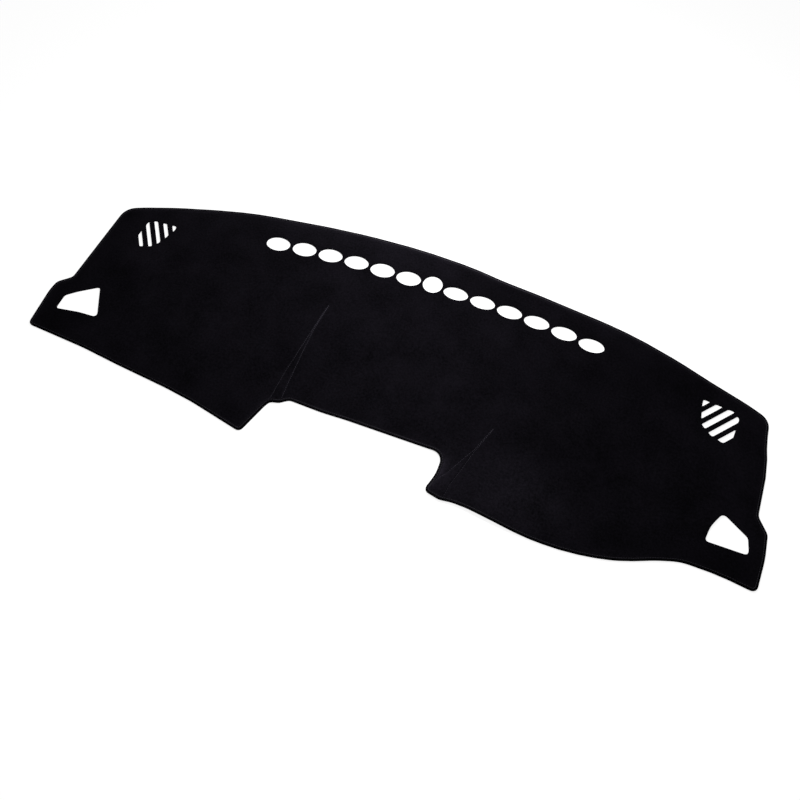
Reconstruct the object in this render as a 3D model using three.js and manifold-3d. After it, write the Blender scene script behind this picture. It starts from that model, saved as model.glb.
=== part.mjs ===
// Dashboard cover mat: one sewn cloth sheet and the tape that binds its edge, lying as it comes to rest.
// Millimetres. X runs along the windscreen to the right, Y from the cabin to the windscreen, +Z is up.
// The plan is drawn from the middle of the vent row and fitted to the finished width and depth. At the end it
// is moved, so that the origin is under the middle of the mat's box.
import * as THREE from 'three';
import { mergeVertices } from 'three/addons/utils/BufferGeometryUtils.js';
import Module from 'manifold-3d';

const wasm = await Module();
wasm.setup();

// Finished size: from tip to tip, and from the windscreen edge to the lowest flap
const matWidth = 1460.8;
const matDepth = 511.7;

// Cloth and tape
const clothThickness = 4;
const tapeThickness = 0.6;
const tapeWidth = 6.5;
const sewingClearance = 0.3;
const tuckRise = 2.4;

// Outer edge, drawn anticlockwise as corners with the radius that rounds each: x, y, radius.
// Left end, from the windscreen corner down past the step to the tip.
const leftEnd = [
  [-698, -56, 40],
  [-706.5, -254, 14],
  [-731, -276, 16],
  [-734, -298, 60],
  [-728.5, -384, 10],
];
// Cabin edge of the passenger side, down to the point of the flap.
const passengerEdge = [
  [-598, -391, 300],
  [-513, -400, 300],
  [-398, -410, 300],
  [-337, -418, 200],
  [-225, -440, 10],
];
// The notch over the middle of the dashboard, with the foot of a tuck at each corner.
const notchEdge = [
  [-203, -373, 60],
  [-198.5, -364, 10],
  [-181, -359.5, 12],
  [-165, -347.5, 12],
  [-98, -348.5, 200],
  [-48, -346, 200],
  [145.5, -343, 28],
  [146, -384, 60],
  [135.5, -421.5, 9],
  [167.5, -428, 20],
];
// Cabin edge of the driver side, which bows out under the instrument hood.
const driverEdge = [
  [191, -425, 40],
  [218, -425.5, 120],
  [311, -436, 250],
  [350, -438, 250],
  [409, -435.5, 250],
  [466, -425.5, 220],
  [505, -414, 220],
  [552, -394, 160],
  [593, -380.5, 90],
  [659, -380, 250],
];
// Right end, from the tip up past the step to the windscreen corner.
const rightEnd = [
  [722.5, -387, 10],
  [727.5, -324, 120],
  [725.5, -279, 14],
  [705, -252, 14],
  [707, -157, 200],
  [698.5, -106, 200],
  [697, -57, 28],
];
// Windscreen edge, one long bow.
const windscreenEdge = [
  [654, -40, 200],
  [580, -17.5, 400],
  [511, 5.5, 400],
  [422, 29, 400],
  [357, 39, 400],
  [214, 54.5, 400],
  [137, 60.5, 400],
  [61, 70.5, 400],
  [-52, 74, 600],
  [-168, 68, 600],
  [-262, 58, 600],
  [-378, 41, 400],
  [-434, 31.5, 400],
  [-512, 10.5, 400],
  [-593, -14.5, 400],
  [-655, -37.5, 200],
];

// Vents: a row of ovals on each side of the round hole over the light sensor, with narrow webs between
const ventsPerSide = 6;
const ventWeb = 5.3;
const sensorWeb = 4.5;
const ventLength = 53;
const ventDepthPassenger = 35.5;
const ventDepthDriver = 31;
const ventSetBack = 4;
const ventRowBow = 18;
const ventRowPower = 2.6;
const ventTiltPassenger = 6;
const ventTiltDriver = 2;
const sensorHole = 42;

// Speaker grilles: parallel slots cut inside a rounded panel. Each panel is drawn from its own middle, with x
// towards the end of the mat.
const panelDriver = [
  [-32, 32, 3],
  [29, 27, 8],
  [40, 16, 8],
  [35, -28, 8],
  [19, -47, 6],
  [-7, -39, 12],
  [-27, -22, 12],
  [-32, 15, 8],
];
const panelPassenger = [
  [-33, 31, 3],
  [22, 27, 6],
  [34, 20, 6],
  [37, -24, 6],
  [20.5, -47, 6],
  [-8, -36, 8],
  [-19, -19, 20],
  [-32, 17, 4],
];
const grilleDriver = [604, -90];
const grillePassenger = [-600, -90];
const slotCount = 5;
const slotPitchDriver = 19.4;
const slotPitchPassenger = 18.4;
const slotWidthDriver = 10.4;
const slotWidthPassenger = 8.3;
const slotAngleDriver = 49;
const slotAnglePassenger = 55;
const slotsDriver = { pitch: slotPitchDriver, width: slotWidthDriver, angle: slotAngleDriver };
const slotsPassenger = { pitch: slotPitchPassenger, width: slotWidthPassenger, angle: slotAnglePassenger };

// Side windows over the demister outlets
const windowPassenger = [
  [-698.5, -332.5, 5],
  [-646, -323.5, 60],
  [-606.5, -321, 6],
  [-640, -254.5, 6],
  [-678, -281, 60],
  [-698.5, -298.5, 8],
];
const windowDriver = [
  [624, -329.5, 4],
  [701.5, -328, 8],
  [695, -296.5, 6],
  [646.5, -268, 9],
  [629, -300, 60],
];

// Sewn tucks, each a wedge of folded cloth: its point, where its seam splits in two, and its foot on the
// edge. On the driver side the foot goes round the corner of the flap.
const tuckPassenger = {
  point: [-177, -132],
  split: [-186, -226],
  foot: [[-203, -367], [-177.5, -361]],
};
const tuckDriver = {
  point: [219, -265],
  split: [186, -342],
  foot: [[141, -398], [130, -428], [172, -432]],
};
const tuckSeamWidth = 3;
const tuckPointShare = 0.1;

// Swells of the cloth where the tucks draw it in: middle, reach along X and Y, share of the highest one
const swellHeight = 21;
const swells = [
  { x: -185, y: -160, reachX: 120, reachY: 170, share: 0.62 },
  { x: 268, y: -322, reachX: 150, reachY: 130, share: 1 },
  { x: -420, y: -250, reachX: 170, reachY: 130, share: 0.43 },
  { x: 540, y: -215, reachX: 140, reachY: 120, share: 0.48 },
  { x: 40, y: -205, reachX: 110, reachY: 95, share: 0.29 },
];
const gridStep = 34;

// Round stretches: degrees for each chord, and the share of a side that one corner's arc may take
const cornerStep = 15;
const mostOfASide = 0.48;
const ventSides = 24;

const middle = (a, b) => (a + b) / 2;

// A closed loop through corners of x, y and radius. An arc is as wide as its corner asks and its sides allow.
function roundedLoop(corners) {
  const points = [];
  corners.forEach(([x, y, radius], i) => {
    const [beforeX, beforeY] = corners[(i + corners.length - 1) % corners.length];
    const [afterX, afterY] = corners[(i + 1) % corners.length];
    const corner = new THREE.Vector2(x, y);
    const back = new THREE.Vector2(beforeX - x, beforeY - y);
    const ahead = new THREE.Vector2(afterX - x, afterY - y);
    const room = Math.min(back.length(), ahead.length()) * mostOfASide;
    back.normalize();
    ahead.normalize();
    const turn = Math.PI - Math.acos(THREE.MathUtils.clamp(back.dot(ahead), -1, 1));
    const fitted = Math.min(radius, room / Math.tan(turn / 2));
    const toCentre = back.clone().add(ahead).normalize();
    const centre = corner.clone().addScaledVector(toCentre, fitted / Math.cos(turn / 2));
    const start = corner.clone().addScaledVector(back, fitted * Math.tan(turn / 2)).sub(centre);
    const leftTurn = back.cross(ahead) < 0;
    const steps = Math.max(1, Math.ceil(THREE.MathUtils.radToDeg(turn) / cornerStep));
    for (let step = 0; step <= steps; step += 1) {
      const angle = (leftTurn ? turn : -turn) * (step / steps);
      points.push(start.clone().rotateAround(new THREE.Vector2(), angle).add(centre));
    }
  });
  return points;
}

const drawnOutline = roundedLoop([
  ...leftEnd,
  ...passengerEdge,
  ...notchEdge,
  ...driverEdge,
  ...rightEnd,
  ...windscreenEdge,
]);
const drawnSize = new THREE.Box2().setFromPoints(drawnOutline).getSize(new THREE.Vector2());
const fit = new THREE.Vector2(matWidth, matDepth).divide(drawnSize);

// A place, a reach or a loop of the drawn plan, as it is on a mat of the finished size
const fitted = (x, y) => new THREE.Vector2(x, y).multiply(fit);
const fittedLoop = (points) => points.map((point) => fitted(point.x, point.y));

const outline = fittedLoop(drawnOutline);
const planBox = new THREE.Box2().setFromPoints(outline);

function insetLoop(points, distance) {
  return points.map((point, i) => {
    const before = points[(i + points.length - 1) % points.length];
    const after = points[(i + 1) % points.length];
    const inward = new THREE.Vector2(before.y - point.y, point.x - before.x).normalize();
    const inwardAfter = new THREE.Vector2(point.y - after.y, after.x - point.x).normalize();
    const mitre = inward.clone().add(inwardAfter).normalize();
    return point.clone().addScaledVector(mitre, distance / mitre.dot(inward));
  });
}

function ovalLoop(x, y, length, depth, tilt) {
  const oval = new THREE.EllipseCurve(x, y, length / 2, depth / 2, 0, 2 * Math.PI, false, tilt);
  return oval.getPoints(ventSides).slice(0, ventSides);
}

function reliefAt(x, y) {
  return swells.reduce((height, swell) => {
    const away = new THREE.Vector2(x, y).sub(fitted(swell.x, swell.y));
    const fall = Math.max(0, 1 - away.divide(fitted(swell.reachX, swell.reachY)).lengthSq());
    return height + swellHeight * swell.share * fall * fall;
  }, 0);
}

function asSolid(geometry) {
  const bare = geometry.clone();
  bare.deleteAttribute('normal');
  bare.deleteAttribute('uv');
  const merged = mergeVertices(bare, 1e-4);
  const vertProperties = new Float32Array(merged.attributes.position.array);
  const triVerts = new Uint32Array(merged.index.array);
  return new wasm.Manifold(new wasm.Mesh({ numProp: 3, vertProperties, triVerts }));
}

function asGeometry(solid) {
  const mesh = solid.getMesh();
  const geometry = new THREE.BufferGeometry();
  geometry.setAttribute('position', new THREE.BufferAttribute(mesh.vertProperties, 3));
  geometry.setIndex(new THREE.BufferAttribute(mesh.triVerts, 1));
  geometry.computeVertexNormals();
  return geometry;
}

// A straight cutter over a loop, from well under the cloth to well over its highest swell
const cutterDepth = 20;
const cutterHeight = 100;

function cutter(loop) {
  const geometry = new THREE.ExtrudeGeometry(new THREE.Shape(loop), {
    depth: cutterDepth + cutterHeight,
    bevelEnabled: false,
  });
  geometry.translate(0, 0, -cutterDepth);
  return asSolid(geometry);
}

// The sheet of cloth before it is cut: a grid over the whole plan, between two heights above the relief.
// The upper height may change from place to place.
function layer(box, lower, upper) {
  const columns = Math.ceil((box.max.x - box.min.x) / gridStep) + 2;
  const rows = Math.ceil((box.max.y - box.min.y) / gridStep) + 2;
  const positions = [];
  const faces = [];
  const index = (side, i, j) => (side * (rows + 1) + j) * (columns + 1) + i;
  for (const side of [0, 1]) {
    for (let j = 0; j <= rows; j += 1) {
      for (let i = 0; i <= columns; i += 1) {
        const x = box.min.x + (i - 1) * gridStep;
        const y = box.min.y + (j - 1) * gridStep;
        positions.push(x, y, reliefAt(x, y) + (side ? upper(x, y) : lower));
      }
    }
  }
  const quad = (a, b, c, d) => faces.push(a, b, c, a, c, d);
  for (let j = 0; j < rows; j += 1) {
    for (let i = 0; i < columns; i += 1) {
      quad(index(1, i, j), index(1, i + 1, j), index(1, i + 1, j + 1), index(1, i, j + 1));
      quad(index(0, i, j), index(0, i, j + 1), index(0, i + 1, j + 1), index(0, i + 1, j));
    }
  }
  for (let i = 0; i < columns; i += 1) {
    quad(index(0, i, 0), index(0, i + 1, 0), index(1, i + 1, 0), index(1, i, 0));
    quad(index(0, i + 1, rows), index(0, i, rows), index(1, i, rows), index(1, i + 1, rows));
  }
  for (let j = 0; j < rows; j += 1) {
    quad(index(0, columns, j), index(0, columns, j + 1), index(1, columns, j + 1), index(1, columns, j));
    quad(index(0, 0, j + 1), index(0, 0, j), index(1, 0, j), index(1, 0, j + 1));
  }
  const geometry = new THREE.BufferGeometry();
  geometry.setAttribute('position', new THREE.Float32BufferAttribute(positions, 3));
  geometry.setIndex(faces);
  return asSolid(geometry);
}

// Part of a convex loop on the inner side of the line at the given distance along a direction
function keepBelow(loop, direction, distance) {
  const kept = [];
  loop.forEach((point, i) => {
    const next = loop[(i + 1) % loop.length];
    const here = point.dot(direction) - distance;
    const there = next.dot(direction) - distance;
    if (here <= 0) {
      kept.push(point);
    }
    if (here * there < 0) {
      kept.push(point.clone().lerp(next, here / (here - there)));
    }
  });
  return kept;
}

// Slots that miss the panel are left out
function grilleSlots(corners, place, { pitch, width, angle }) {
  const side = Math.sign(place[0]);
  const centre = fitted(...place);
  const placed = corners.map(([x, y, radius]) => [centre.x + side * x, centre.y + y, radius]);
  const panel = roundedLoop(side > 0 ? placed.reverse() : placed);
  const slope = THREE.MathUtils.degToRad(angle);
  const across = new THREE.Vector2(side * Math.sin(slope), -Math.cos(slope));
  const slots = Array.from({ length: slotCount }, (_, i) => {
    const line = centre.dot(across) + (i - (slotCount - 1) / 2) * pitch;
    const trimmed = keepBelow(panel, across, line + width / 2);
    return keepBelow(trimmed, across.clone().negate(), -(line - width / 2));
  });
  return slots.filter((slot) => slot.length > 2);
}

function ventLoops() {
  const loops = [ovalLoop(0, 0, sensorHole, sensorHole, 0)];
  const nextToSensor = middle(sensorHole, ventLength) + sensorWeb;
  const pitch = ventLength + ventWeb;
  const rowEnd = nextToSensor + (ventsPerSide - 1) * pitch;
  for (const side of [-1, 1]) {
    for (let i = 0; i < ventsPerSide; i += 1) {
      const x = side * (nextToSensor + i * pitch);
      const y = -ventSetBack - ventRowBow * Math.pow(Math.abs(x) / rowEnd, ventRowPower);
      const depth = side < 0 ? ventDepthPassenger : ventDepthDriver;
      const tilt = THREE.MathUtils.degToRad(side < 0 ? ventTiltPassenger : ventTiltDriver);
      loops.push(ovalLoop(x, y, ventLength, depth, tilt));
    }
  }
  return loops;
}

function grilleLoops() {
  return [
    ...grilleSlots(panelPassenger, grillePassenger, slotsPassenger),
    ...grilleSlots(panelDriver, grilleDriver, slotsDriver),
  ];
}

function windowLoops() {
  return [windowPassenger, windowDriver].map((corners) => fittedLoop(roundedLoop(corners)));
}

// Height of a tuck's top over the cloth's underside: little more than the cloth at its point, and all of its
// rise at its foot
function tuckHeight(tuck) {
  const point = fitted(...tuck.point);
  const foot = fitted(...tuck.foot[0]).lerp(fitted(...tuck.foot.at(-1)), 0.5);
  const down = foot.sub(point);
  const length = down.length();
  down.normalize();
  return (x, y) => {
    const share = (new THREE.Vector2(x, y).sub(point).dot(down)) / length;
    return clothThickness + tuckRise * THREE.MathUtils.clamp(share, tuckPointShare, 1);
  };
}

function tuckLoop(tuck) {
  const split = fitted(...tuck.split);
  const half = new THREE.Vector2(tuckSeamWidth / 2, 0);
  return [
    fitted(...tuck.point),
    split.clone().sub(half),
    ...tuck.foot.map((corner) => fitted(...corner)),
    split.clone().add(half),
  ];
}

const flat = (height) => () => height;

// The sheet is pressed thinner along its edge, where the tape wraps it, so that both faces end up level
function makeMat() {
  const seat = tapeThickness + sewingClearance;
  const pressedPlan = cutter(insetLoop(outline, seat));
  const pressedEdge = layer(planBox, seat, flat(clothThickness - seat)).intersect(pressedPlan);
  const innerPlan = cutter(insetLoop(outline, tapeWidth + sewingClearance));
  const field = layer(planBox, 0, flat(clothThickness)).intersect(innerPlan);
  let cloth = field.add(pressedEdge);
  for (const tuck of [tuckPassenger, tuckDriver]) {
    const fold = layer(planBox, clothThickness / 2, tuckHeight(tuck)).intersect(cutter(tuckLoop(tuck)));
    cloth = cloth.add(fold.intersect(innerPlan));
  }
  for (const loop of [...ventLoops(), ...grilleLoops(), ...windowLoops()]) {
    cloth = cloth.subtract(cutter(loop));
  }
  return asGeometry(cloth);
}

// The tape: a strip along the whole edge, as thick as the cloth and hollowed to a fold for the pressed edge
function makeBinding() {
  const strip = layer(planBox, 0, flat(clothThickness))
    .intersect(cutter(outline))
    .subtract(cutter(insetLoop(outline, tapeWidth)));
  const fold = layer(planBox, tapeThickness, flat(clothThickness - tapeThickness))
    .intersect(cutter(insetLoop(outline, tapeThickness)));
  return asGeometry(strip.subtract(fold));
}

const velour = new THREE.MeshStandardMaterial({ color: 0x0d0c11, roughness: 1, metalness: 0 });
const tape = new THREE.MeshStandardMaterial({ color: 0x17161b, roughness: 0.85, metalness: 0 });

const mat = new THREE.Mesh(makeMat(), velour);
mat.name = 'mat';
const binding = new THREE.Mesh(makeBinding(), tape);
binding.name = 'edge_binding';

const cover = new THREE.Group();
cover.add(mat, binding);
cover.position.set(-middle(planBox.min.x, planBox.max.x), -middle(planBox.min.y, planBox.max.y), 0);

export default cover;
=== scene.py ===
# %% [markdown]
# A velour cover for a dashboard
#
# The object is one sheet of black velour, about 4 mm thick, that lies on a car's dashboard to keep the
# sun off it. It has ovals cut along the windscreen for the demister vents, slots over two speakers, a
# window at each end, and two sewn tucks. A folded tape binds its whole outer edge.
#
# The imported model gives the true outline, the cut-outs and the gentle swells that the cloth lies in.
# This lesson reads them from it, and rebuilds the cloth finely enough for its soft edges, seams and
# stitches.

# %% The frame
import math

import bmesh
import bpy
import numpy as np
from mathutils import Matrix, Vector, kdtree, noise
from mathutils.bvhtree import BVHTree
from mathutils.geometry import delaunay_2d_cdt


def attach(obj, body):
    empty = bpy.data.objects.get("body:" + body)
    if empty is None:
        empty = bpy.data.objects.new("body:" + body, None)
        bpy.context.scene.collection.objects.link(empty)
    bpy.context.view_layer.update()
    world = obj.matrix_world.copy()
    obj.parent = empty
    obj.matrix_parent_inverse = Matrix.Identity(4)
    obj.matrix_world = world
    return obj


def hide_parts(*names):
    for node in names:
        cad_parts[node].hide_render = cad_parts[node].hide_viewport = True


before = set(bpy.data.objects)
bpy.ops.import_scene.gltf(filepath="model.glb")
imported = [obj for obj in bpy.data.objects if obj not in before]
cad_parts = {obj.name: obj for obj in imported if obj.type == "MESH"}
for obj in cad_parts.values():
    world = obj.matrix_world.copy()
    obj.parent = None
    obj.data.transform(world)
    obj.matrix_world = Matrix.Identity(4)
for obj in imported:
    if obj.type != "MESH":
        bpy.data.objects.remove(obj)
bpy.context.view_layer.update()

# %% [markdown]
# Sizes of the cloth, tape and thread, in metres. The first ones are those of the solids in the packed
# model, and the rest are fine ones that only show close up. Positions on the mat are given from the
# middle of the sensor hole, as in the part's plan, and are moved to the frame by one offset.

# %% Sizes
MM = 0.001
CLOTH = 4.0 * MM
TAPE_WIDTH = 6.5 * MM
TUCK_RISE = 2.4 * MM
STITCH_PITCH = 4.2 * MM
STITCH_INSET = 4.7 * MM
THREAD = 0.6 * MM
PLAN_TO_FRAME = Vector((3.3, 182.2)) * MM


def plan(x, y):
    """A point of the plan, in millimetres from the sensor hole, as frame coordinates in metres."""
    return Vector((x, y)) * MM + PLAN_TO_FRAME


# %% [markdown]
# The underside of each CAD node is a set of triangles that face down. The largest connected patch of
# them is the flat of the cloth, or the lower face of the tape, and the borders of that patch are the
# loops that this lesson needs: the outline and every cut-out. The CAD mesh is only copied and read
# here, never changed. The faces are kept in dictionaries and not in sets, because a dictionary keeps
# its order from run to run.

# %% Loops from the frame
LEAST_DOWNWARD = -0.8
MERGE = 0.004 * MM


def underside(node):
    """Triangles and border loops of the largest patch of a node that faces down."""
    mesh = bmesh.new()
    mesh.from_mesh(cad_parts[node].data)
    bmesh.ops.remove_doubles(mesh, verts=mesh.verts, dist=MERGE)
    mesh.normal_update()
    left = dict.fromkeys(face for face in mesh.faces if face.normal.z < LEAST_DOWNWARD)
    patches = []
    while left:
        patch = dict.fromkeys([left.popitem()[0]])
        front = list(patch)
        while front:
            face = front.pop()
            for edge in face.edges:
                for other in edge.link_faces:
                    if other in left:
                        del left[other]
                        patch[other] = None
                        front.append(other)
        patches.append(patch)
    patch = max(patches, key=lambda faces: sum(face.calc_area() for face in faces))
    triangles = [[tuple(vert.co) for vert in face.verts] for face in patch]
    after = {}
    for face in patch:
        for loop in face.loops:
            if sum(other in patch for other in loop.edge.link_faces) == 1:
                after[loop.vert] = loop.link_loop_next.vert
    loops = []
    while after:
        start, vert = after.popitem()
        ring = [start]
        while vert is not start:
            ring.append(vert)
            vert = after.pop(vert)
        loops.append(np.array([tuple(vert.co)[:2] for vert in ring]))
    mesh.free()
    loops.sort(key=lambda ring: -np.ptp(ring[:, 0]))
    return triangles, loops


cloth_triangles, cloth_loops = underside("mat")
tape_triangles, tape_loops = underside("edge_binding")
outline_corners = tape_loops[0]
cut_out_corners = cloth_loops[1:]
print("cut-outs", len(cut_out_corners), "outline corners", len(outline_corners))

# %% [markdown]
# A loop from the solids has long straight chords. It is walked at an even step, and then averaged with
# its neighbours once or twice, which turns the chords into round arcs. Every loop is kept
# anticlockwise, so that its left side is its inner side.

# %% Even, round loops


def signed_area(loop):
    ahead = np.roll(loop, -1, axis=0)
    return 0.5 * float(np.sum(loop[:, 0] * ahead[:, 1] - ahead[:, 0] * loop[:, 1]))


def even_loop(corners, count, soften=2):
    loop = corners if signed_area(corners) > 0 else corners[::-1]
    closed = np.vstack([loop, loop[:1]])
    walked = np.concatenate([[0], np.cumsum(np.linalg.norm(np.diff(closed, axis=0), axis=1))])
    stops = np.linspace(0, walked[-1], count, endpoint=False)
    even = np.column_stack([np.interp(stops, walked, closed[:, axis]) for axis in (0, 1)])
    for _ in range(soften):
        even = (np.roll(even, 1, axis=0) + 2 * even + np.roll(even, -1, axis=0)) / 4
    return even


def length_of(corners):
    return float(np.linalg.norm(corners - np.roll(corners, -1, axis=0), axis=1).sum())


def inward_normals(loop):
    along = np.roll(loop, -1, axis=0) - np.roll(loop, 1, axis=0)
    along /= np.linalg.norm(along, axis=1)[:, None]
    return np.column_stack([-along[:, 1], along[:, 0]])


stitch_count = round(length_of(outline_corners) / STITCH_PITCH)
outline = even_loop(outline_corners, stitch_count * 2)
outline_inward = inward_normals(outline)
print("edge", round(length_of(outline), 3), "m, stitches", stitch_count)

# %% [markdown]
# The height of the cloth over the floor comes from the same triangles. For any place on the plan, the
# nearest triangle is found with everything pressed flat, and its plane gives the height there. The
# facets are about 34 mm wide, so the heights are smoothed later over the fine mesh.

# %% Height of the frame's cloth
UPRIGHT = 1e-12
SWELL_MIDDLE = plan(268, -322)

height_triangles = cloth_triangles + tape_triangles
flat_tree = BVHTree.FromPolygons(
    [(x, y, 0.0) for triangle in height_triangles for x, y, z in triangle],
    [(3 * i, 3 * i + 1, 3 * i + 2) for i in range(len(height_triangles))],
)


def frame_height(x, y):
    place, normal, index, distance = flat_tree.find_nearest((x, y, 0.0))
    a, b, c = (Vector(corner) for corner in height_triangles[index])
    slope = (b - a).cross(c - a)
    if abs(slope.z) < UPRIGHT:
        return a.z
    return a.z - (slope.x * (place.x - a.x) + slope.y * (place.y - a.y)) / slope.z


middle_height = frame_height(*SWELL_MIDDLE)
print("height of the swell under the instruments", round(middle_height * 1000, 1), "mm")

# %% [markdown]
# A tuck is a pinch of cloth that is folded over and sewn down, so that a flat sheet takes the shape of
# a dashboard. Each is a long wedge: two rows of stitches start side by side at its point, and draw
# apart with the folded cloth raised between them. Their lines are short lists of points chosen on the
# plan. On the driver's side the wedge ends round the corner of the flap.

# %% Tucks
# The first number of each tuck is the strength of a painted highlight along its rows of stitches, where the
# edge of the fold catches the light.
TUCKS = {
    "passenger": {
        "seam_highlight": 0.8,
        "left": [
            plan(-176.6, -131), plan(-183, -191), plan(-191, -249), plan(-197, -292), plan(-201, -358),
        ],
        "right": [
            plan(-175.4, -131), plan(-181, -191), plan(-182.5, -249), plan(-182, -318), plan(-180, -353),
        ],
    },
    "driver": {
        "seam_highlight": 0.25,
        "left": [
            plan(216.5, -266), plan(197, -319), plan(176, -356), plan(164, -377), plan(140, -409),
        ],
        "right": [
            plan(217.5, -267), plan(198, -323), plan(186, -366), plan(177, -394), plan(173, -422),
        ],
    },
}


def walk(points, step):
    """Points at an even step along an open line of points."""
    line = np.array([tuple(point) for point in points])
    walked = np.concatenate([[0], np.cumsum(np.linalg.norm(np.diff(line, axis=0), axis=1))])
    stops = np.linspace(0, walked[-1], max(2, round(walked[-1] / step) + 1))
    return np.column_stack([np.interp(stops, walked, line[:, axis]) for axis in (0, 1)])


def rows_beside(line, offsets):
    along = np.gradient(line, axis=0)
    along /= np.linalg.norm(along, axis=1)[:, None]
    side = np.column_stack([-along[:, 1], along[:, 0]])
    return np.vstack([line + side * offset for offset in offsets])


SEAM_STEP = 2.4 * MM
BESIDE_SEAM = [offset * MM for offset in (-7, -4.2, -2.2, -0.9, 0, 0.9, 2.2, 4.2, 7)]

seam_lines = {}
for name, tuck in TUCKS.items():
    for side in ("left", "right"):
        seam_lines[name, side] = walk(tuck[side], SEAM_STEP)
seam_rows = np.vstack([rows_beside(line, BESIDE_SEAM) for line in seam_lines.values()])
print("points along the tucks", len(seam_rows))

# %% [markdown]
# The sheet is drawn in plan first. It ends 2.2 mm inside the outline, where the fold of the tape hides
# its edge. Its cut-outs are walked at an even step like its outline. To place points on cloth only,
# each point is asked on which side of every loop it is.

# %% Edges of the sheet
EDGE_INSET = 2.2 * MM
HOLE_STEP = 2.6 * MM
LEAST_HOLE_POINTS = 10

sheet_edge = outline + outline_inward * EDGE_INSET


def hole_loop(corners):
    count = max(LEAST_HOLE_POINTS, round(length_of(corners) / HOLE_STEP))
    return even_loop(corners, count, soften=1)


hole_loops = [hole_loop(corners) for corners in cut_out_corners]


def inside(points, loop):
    """Which points lie inside a loop, by counting the edges that a line from each one crosses."""
    crossings = np.zeros(len(points), int)
    ahead = np.roll(loop, -1, axis=0)
    for start, end in zip(loop, ahead):
        spans = (start[1] > points[:, 1]) != (end[1] > points[:, 1])
        if spans.any():
            share = (points[spans, 1] - start[1]) / (end[1] - start[1])
            crossings[spans] += points[spans, 0] < start[0] + share * (end[0] - start[0])
    return crossings % 2 == 1


def on_sheet(points):
    in_hole = np.any([inside(points, hole) for hole in hole_loops], axis=0)
    return inside(points, sheet_edge) & ~in_hole


print("points round the cut-outs", sum(len(hole) for hole in hole_loops))

# %% [markdown]
# The points are denser where the form changes quickly: along the tape, round the cut-outs and beside
# the tucks. Everywhere else they lie on a loose hexagonal grid, which has no direction of its own. A
# point that comes too near to a denser one is dropped, so that no sliver of a triangle spoils the
# smooth cloth.

# %% Points of the sheet
EDGE_ROWS = [inset * MM for inset in (4.4, 6.4, 7.4, 8.6, 10.5, 13.5)]
HOLE_ROWS = [inset * MM for inset in (0.7, 1.6, 3.2)]
GRID = 7.5 * MM
CLEAR_OF_RIM = 0.5 * MM
CLEAR_OF_FINE = 0.55 * GRID


def tree_of(points):
    tree = kdtree.KDTree(len(points))
    for index, (x, y) in enumerate(points):
        tree.insert((x, y, 0), index)
    tree.balance()
    return tree


def distances(tree, points):
    return np.array([tree.find((x, y, 0))[2] for x, y in points])


def hex_grid(low, high, step):
    rows = []
    row_step = step * math.sqrt(3) / 2
    for row in range(int((high[1] - low[1]) / row_step) + 1):
        xs = np.arange(low[0] + (row % 2) * step / 2, high[0], step)
        rows.append(np.column_stack([xs, np.full(len(xs), low[1] + row * row_step)]))
    return np.vstack(rows)


edge_tree = tree_of(sheet_edge)
rim_points = np.vstack([sheet_edge] + hole_loops)
rim_tree = tree_of(rim_points)

near_edge = [outline[::2] + outline_inward[::2] * inset for inset in EDGE_ROWS]
near_holes = [hole - inward_normals(hole) * inset for hole in hole_loops for inset in HOLE_ROWS]
fine = np.vstack(near_edge + near_holes + [seam_rows])
fine = fine[on_sheet(fine)]
fine = fine[distances(rim_tree, fine) > CLEAR_OF_RIM]
fine_tree = tree_of(np.vstack([fine, rim_points]))
loose = hex_grid(sheet_edge.min(axis=0), sheet_edge.max(axis=0), GRID)
loose = loose[on_sheet(loose)]
loose = loose[distances(fine_tree, loose) > CLEAR_OF_FINE]
print("points: rims", len(rim_points), "fine", len(fine), "loose", len(loose))

# %% [markdown]
# One constrained triangulation joins the points, and keeps the outline and every cut-out as edges. The
# triangles that fall into a cut-out or outside the sheet are left out, and the others are turned to
# face up.

# %% Triangles of the sheet
SAME_POINT = 0.02 * MM


def triangulate():
    points = np.vstack([rim_points, fine, loose])
    edges = []
    start = 0
    for loop in [sheet_edge] + hole_loops:
        edges += [(start + i, start + (i + 1) % len(loop)) for i in range(len(loop))]
        start += len(loop)
    made = delaunay_2d_cdt([Vector(point) for point in points], edges, [], 0, SAME_POINT)
    corners = np.array([tuple(vert) for vert in made[0]])
    triangles = np.array(made[2])
    kept = triangles[on_sheet(corners[triangles].mean(axis=1))]
    first, second, third = (corners[kept[:, i]] for i in range(3))
    turn = (second[:, 0] - first[:, 0]) * (third[:, 1] - first[:, 1])
    turn -= (second[:, 1] - first[:, 1]) * (third[:, 0] - first[:, 0])
    kept[turn < 0] = kept[turn < 0][:, ::-1]
    used = np.unique(kept)
    renumber = np.full(len(corners), -1)
    renumber[used] = np.arange(len(used))
    return corners[used], renumber[kept]


sheet_plan, sheet_triangles = triangulate()
print("sheet in plan:", len(sheet_plan), "points", len(sheet_triangles), "triangles")

# %% [markdown]
# Now each point gets its height. The frame gives the swells, and averaging over neighbours rounds the
# facets off. Cloth is never quite even, so a little smooth noise is added, which fades out towards the
# sewn edge.

# %% Heights of the sheet
SMOOTHING_ROUNDS = 60
UNEVEN = 0.5 * MM
UNEVEN_SIZE = 0.055
UNEVEN_MIDDLE = 0.75
FINER_SHARE = 0.5
FINER_SIZE = 0.36
LIFT_FROM, LIFT_TO = 8 * MM, 45 * MM
OWN_SHARE = 0.4


def edges_of(triangles):
    pairs = np.vstack([triangles[:, [0, 1]], triangles[:, [1, 2]], triangles[:, [2, 0]]])
    return np.unique(np.sort(pairs, axis=1), axis=0)


sheet_links = edges_of(sheet_triangles)


def smoothed(values, rounds):
    first, second = sheet_links.T
    count = np.bincount(np.concatenate([first, second]), minlength=len(values))
    for _ in range(rounds):
        total = np.bincount(first, values[second], len(values))
        total += np.bincount(second, values[first], len(values))
        values = OWN_SHARE * values + (1 - OWN_SHARE) * total / count
    return values


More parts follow.
